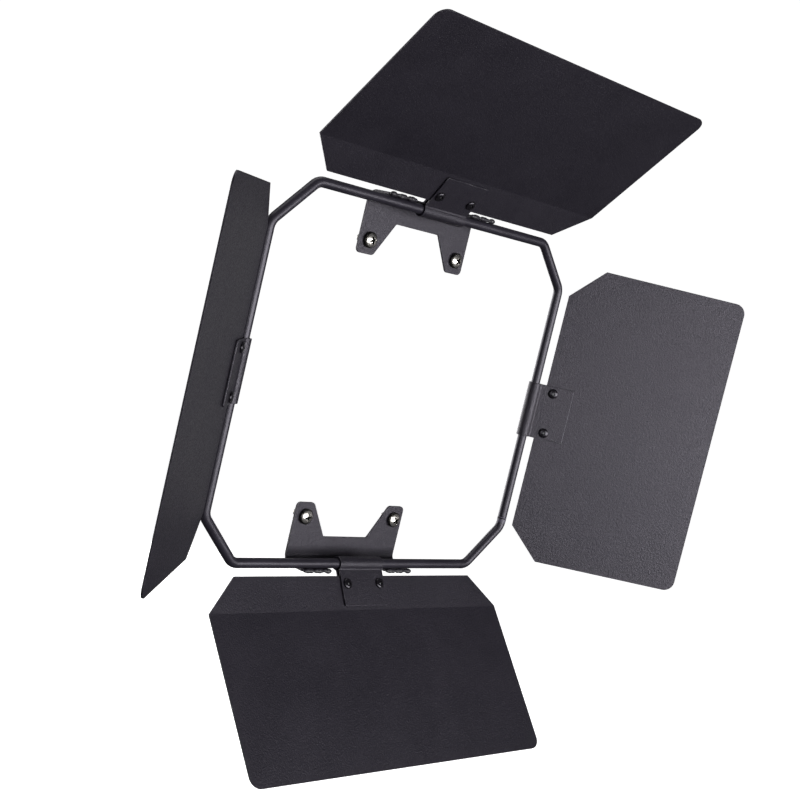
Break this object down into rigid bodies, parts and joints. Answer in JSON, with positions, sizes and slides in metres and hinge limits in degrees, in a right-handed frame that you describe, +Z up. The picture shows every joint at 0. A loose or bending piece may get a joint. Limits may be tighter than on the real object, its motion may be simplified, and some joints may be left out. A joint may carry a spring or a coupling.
{
  "type": "barn door attachment",
  "caption": "Barn doors for a stage lamp: leaves of black sheet metal hinged with folded straps on a bent rod ring that two brackets hold in front of the lamp's face.",
  "frame": {"origin": "on the lamp's optical axis, in the plane of the face plate that the bracket ears are screwed to", "axes": "+Z up; the lamp shines along -Y, so +Y points back into the lamp; +X to the right as seen from in front of the lamp"},
  "size_m": [0.4369, 0.1103, 0.4056],
  "materials": {
    "powder_coat": "matt black powder coat with a fine pebbled texture",
    "satin_rod": "satin black paint on round steel rod",
    "nickel": "bright nickel plate",
    "black_rivet": "glossy black painted steel",
    "rivet_pin": "dark broken steel",
    "weld": "painted weld bead"
  },
  "bodies": {
    "frame": {"ring": "satin_rod", "bracket_upper": "powder_coat", "bracket_lower": "powder_coat", "bracket_screw_upper_left": "nickel", "weld_upper_left": "weld", "bracket_screw_upper_right": "nickel", "weld_upper_right": "weld", "bracket_screw_lower_left": "nickel", "weld_lower_left": "weld", "bracket_screw_lower_right": "nickel", "weld_lower_right": "weld"},
    "top_leaf": {"leaf_top": "powder_coat", "hinge_strap_top": "powder_coat", "rivet_top_1": "black_rivet", "rivet_pin_top_1": "rivet_pin", "rivet_top_2": "black_rivet", "rivet_pin_top_2": "rivet_pin"},
    "bottom_leaf": {"leaf_bottom": "powder_coat", "hinge_strap_bottom": "powder_coat", "rivet_bottom_1": "black_rivet", "rivet_pin_bottom_1": "rivet_pin", "rivet_bottom_2": "black_rivet", "rivet_pin_bottom_2": "rivet_pin"},
    "left_leaf": {"leaf_left": "powder_coat", "hinge_strap_left": "powder_coat", "rivet_left_1": "black_rivet", "rivet_pin_left_1": "rivet_pin", "rivet_left_2": "black_rivet", "rivet_pin_left_2": "rivet_pin"},
    "right_leaf": {"leaf_right": "powder_coat", "hinge_strap_right": "powder_coat", "rivet_right_1": "black_rivet", "rivet_pin_right_1": "rivet_pin", "rivet_right_2": "black_rivet", "rivet_pin_right_2": "rivet_pin"}
  },
  "joints": [
    {"name": "top_leaf_hinge", "type": "hinge", "parent": "frame", "child": "top_leaf", "pos_m": [0, -0.017, 0.10825], "axis": [1, 0, 0], "range_deg": [-75.9, 49.1]},
    {"name": "bottom_leaf_hinge", "type": "hinge", "parent": "frame", "child": "bottom_leaf", "pos_m": [0, -0.017, -0.10825], "axis": [-1, 0, 0], "range_deg": [-72.9, 52.1]},
    {"name": "left_leaf_hinge", "type": "hinge", "parent": "frame", "child": "left_leaf", "pos_m": [-0.1255, -0.017, 0], "axis": [0, 0, 1], "range_deg": [-101.6, 133.4]},
    {"name": "right_leaf_hinge", "type": "hinge", "parent": "frame", "child": "right_leaf", "pos_m": [0.1255, -0.017, 0], "axis": [0, 0, -1], "range_deg": [-102.8, 132.2]}
  ]
}
